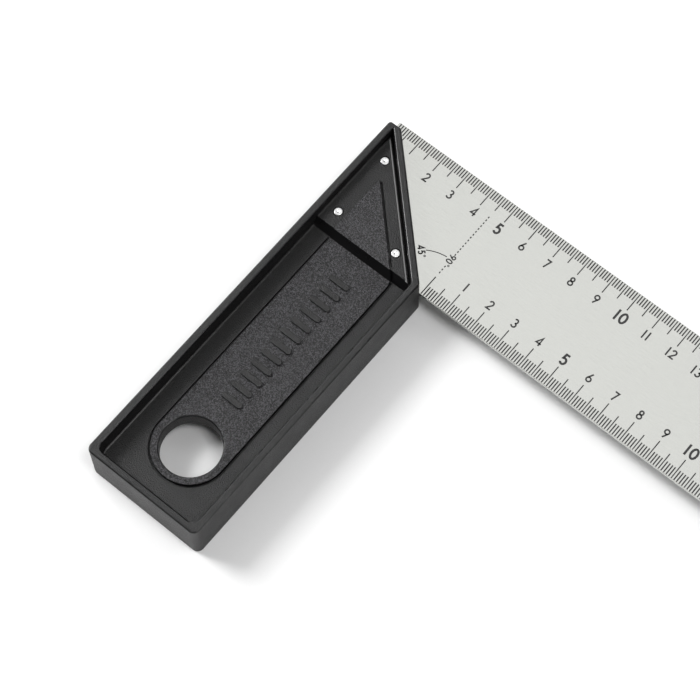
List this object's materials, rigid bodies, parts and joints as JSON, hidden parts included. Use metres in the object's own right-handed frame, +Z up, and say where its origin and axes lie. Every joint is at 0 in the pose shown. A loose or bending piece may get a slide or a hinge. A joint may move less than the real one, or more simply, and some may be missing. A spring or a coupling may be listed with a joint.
{
  "type": "try square",
  "caption": "Fixed try square: moulded plastic stock with a hanging hole and a 45 degree shoulder, riveted to a ruled steel blade at right angles.",
  "frame": {"origin": "the square's inside corner, where the stock's fence face meets the blade's inner edge, on the blade's mid-plane", "axes": "+X along the blade away from the stock, +Y towards the blade's outer edge, +Z up out of the tool's upper face"},
  "size_m": [0.25, 0.155, 0.018],
  "materials": {
    "stock_plastic": "fine moulded grain, black",
    "blade_steel": "satin stainless steel",
    "rivet_steel": "bright, faced flat"
  },
  "bodies": {
    "root": {"stock": "stock_plastic", "blade": "blade_steel", "rivet_tip": "rivet_steel", "rivet_outer": "rivet_steel", "rivet_inner": "rivet_steel"}
  },
  "joints": []
}
